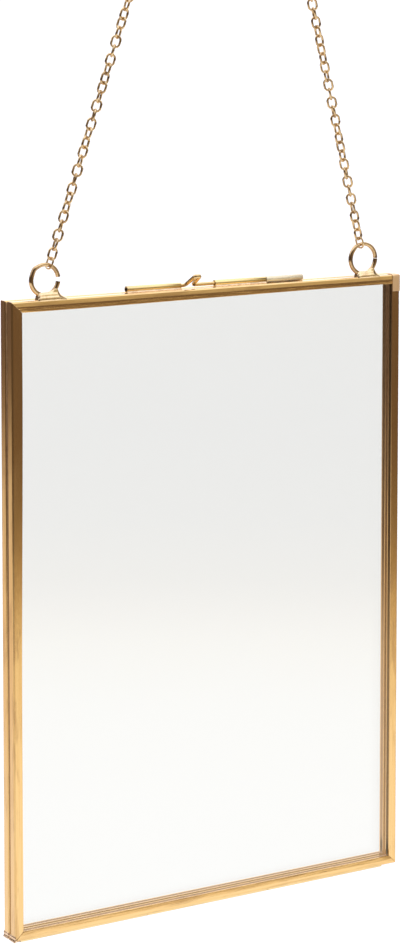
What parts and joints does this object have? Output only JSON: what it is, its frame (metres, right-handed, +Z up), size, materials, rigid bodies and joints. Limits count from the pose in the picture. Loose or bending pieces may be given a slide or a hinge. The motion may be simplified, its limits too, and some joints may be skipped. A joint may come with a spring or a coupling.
{
  "type": "hanging picture frame",
  "caption": "Hanging picture frame with hinged leaves of brass channel round glass panes, held shut by a slide bolt on top and hung from wire eyelets by a fine cable chain.",
  "frame": {"origin": "the point where the wall pin bears in the top link of the chain", "axes": "+X to the right, along the width; -Y towards the viewer, in front of the frame; +Z up, along the height"},
  "size_m": [0.1325, 0.0088, 0.3715],
  "materials": {
    "channel_brass": "satin, with brushed streaks",
    "glass": "clear, polished",
    "solder": "satin, brass-plated solder",
    "eyelet_brass": "polished",
    "tube_brass": "satin",
    "wire_brass": "polished",
    "chain_brass": "polished"
  },
  "bodies": {
    "hanger": {"hanging_link": "chain_brass"},
    "chain": {"left_chain": "chain_brass", "right_chain": "chain_brass"},
    "front_leaf": {"front_left_channel": "channel_brass", "front_right_channel": "channel_brass", "front_top_channel": "channel_brass", "front_bottom_channel": "channel_brass", "front_glass": "glass", "front_corner_solder": "solder", "left_eyelet": "eyelet_brass", "right_eyelet": "eyelet_brass", "left_eyelet_solder": "solder", "right_eyelet_solder": "solder", "left_guide_tube": "tube_brass", "right_guide_tube": "tube_brass", "front_hinge_knuckles": "tube_brass", "hinge_pin": "wire_brass"},
    "rear_leaf": {"rear_left_channel": "channel_brass", "rear_right_channel": "channel_brass", "rear_top_channel": "channel_brass", "rear_bottom_channel": "channel_brass", "rear_glass": "glass", "rear_corner_solder": "solder", "keeper_tube": "tube_brass", "rear_hinge_knuckle": "tube_brass"},
    "bolt": {"slide_bolt": "wire_brass"}
  },
  "joints": [
    {"name": "chain_swing", "type": "hinge", "parent": "hanger", "child": "chain", "pos_m": [0, 0, -0.00211], "axis": [1, 0, 0], "range_deg": [-75, 75]},
    {"name": "frame_swing", "type": "hinge", "parent": "chain", "child": "front_leaf", "pos_m": [-0.00888, 0, -0.17738], "axis": [1, 0, 0], "range_deg": [-90, 90]},
    {"name": "rear_leaf_hinge", "type": "hinge", "parent": "front_leaf", "child": "rear_leaf", "pos_m": [-0.00888, 0.00195, -0.36997], "axis": [-1, 0, 0], "range_deg": [0, 180]},
    {"name": "bolt_slide", "type": "slide", "parent": "front_leaf", "child": "bolt", "axis": [1, 0, 0], "range_m": [0, 0.0063]}
  ]
}
